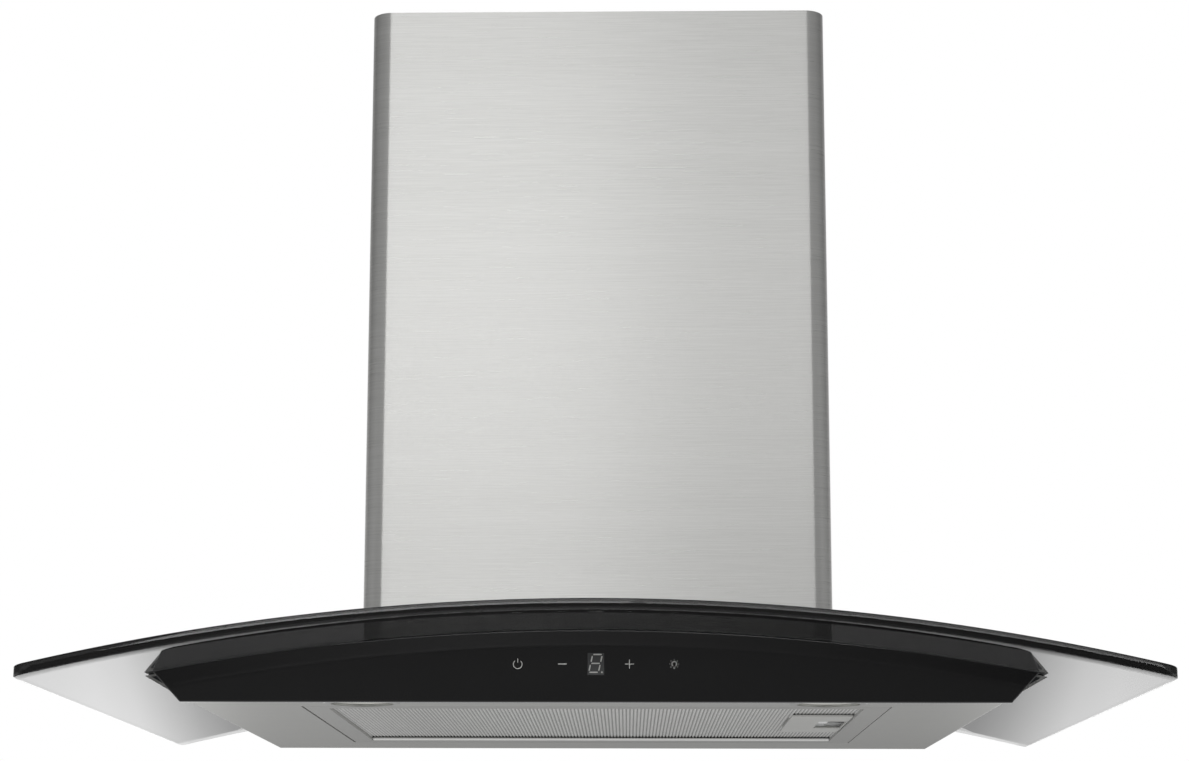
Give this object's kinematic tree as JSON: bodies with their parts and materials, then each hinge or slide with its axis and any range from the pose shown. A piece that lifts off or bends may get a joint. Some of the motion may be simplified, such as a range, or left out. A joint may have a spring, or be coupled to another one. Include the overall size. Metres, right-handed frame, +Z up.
{
  "type": "curved glass wall-mounted range hood",
  "caption": "Wall hood with an arched smoked-glass canopy, brushed steel chimney, black touch panel, lamps, hinged grease filter and a built-in centrifugal fan.",
  "frame": {"origin": "on the wall plane, at the middle of the lower back edge of the steel body", "axes": "+X to the viewer's right, +Y into the wall, -Y into the room, +Z up"},
  "size_m": [0.6, 0.5, 0.4524],
  "materials": {
    "brushed_stainless": "horizontal brushed grain",
    "smoked_glass": "polished, dark grey tint",
    "black_glass": "black back-printed toughened glass, gloss",
    "foam": "closed-cell foam",
    "black_plastic": "moulded, fine texture",
    "circuit_board": "solder mask",
    "white_plastic": "moulded",
    "frosted_glass": "frosted",
    "chrome": "polished",
    "aluminium": "mill finish",
    "galvanised": "zinc-coated sheet",
    "zinc_steel": "bright zinc",
    "grey_plastic": "moulded",
    "copper": "bare"
  },
  "bodies": {
    "hood": {"hood_body": "brushed_stainless", "canopy_glass": "smoked_glass", "glass_seal": "foam", "filter_seat": "galvanised", "filter_ledge": "galvanised", "control_panel_glass": "black_glass", "panel_tape": "foam", "control_tray": "black_plastic", "control_board": "circuit_board", "board_components": "black_plastic", "touch_pads": "copper", "digit_display": "black_plastic", "left_lamp_bezel": "chrome", "right_lamp_bezel": "chrome", "left_lamp_lens": "frosted_glass", "right_lamp_lens": "frosted_glass", "left_lamp_can": "aluminium", "right_lamp_can": "aluminium", "lamp_clips": "zinc_steel", "blower_box": "galvanised", "glass_clamps": "zinc_steel", "clamp_screws": "zinc_steel", "hanger_bracket": "galvanised", "scroll_front": "grey_plastic", "scroll_back": "grey_plastic", "motor": "aluminium", "motor_bracket": "galvanised", "bracket_screws": "zinc_steel", "outlet_collar": "black_plastic", "collar_screws": "zinc_steel", "damper_axle": "zinc_steel", "terminal_box": "grey_plastic", "terminal_cover": "grey_plastic", "terminal_block": "white_plastic", "cable_gland": "black_plastic", "capacitor": "white_plastic", "lower_chimney": "brushed_stainless", "chimney_stays": "galvanised"},
    "impeller_body": {"impeller": "white_plastic", "motor_shaft": "zinc_steel"},
    "filter": {"filter_frame": "aluminium", "filter_mesh": "aluminium", "filter_core": "aluminium", "latch_housing": "aluminium", "latch_springs": "zinc_steel"},
    "latch": {"latch_slide": "grey_plastic"},
    "left_damper": {"left_flap": "black_plastic"},
    "right_damper": {"right_flap": "black_plastic"},
    "upper_cover": {"upper_chimney": "brushed_stainless", "upper_bracket": "galvanised", "upper_screws": "zinc_steel"}
  },
  "joints": [
    {"name": "impeller_spin", "type": "hinge", "parent": "hood", "child": "impeller_body", "pos_m": [-0.01, -0.1325, 0.16], "axis": [0, 1, 0], "continuous": true},
    {"name": "filter_hinge", "type": "hinge", "parent": "hood", "child": "filter", "pos_m": [-0.1683, -0.2005, 0.0012], "axis": [0, 1, 0], "range_deg": [0, 75]},
    {"name": "latch_slide", "type": "slide", "parent": "filter", "child": "latch", "axis": [-1, 0, 0], "range_m": [0, 0.007], "stiffness_N_per_m": 400, "springref_m": -0.002, "deforming": ["latch_springs"]},
    {"name": "left_flap_hinge", "type": "hinge", "parent": "hood", "child": "left_damper", "pos_m": [0, -0.1325, 0.322], "axis": [0, 1, 0], "range_deg": [0, 75]},
    {"name": "right_flap_hinge", "type": "hinge", "parent": "hood", "child": "right_damper", "pos_m": [0, -0.1325, 0.322], "axis": [0, -1, 0], "range_deg": [0, 75]},
    {"name": "upper_cover_slide", "type": "slide", "parent": "hood", "child": "upper_cover", "axis": [0, 0, 1], "range_m": [0, 0.3]}
  ]
}
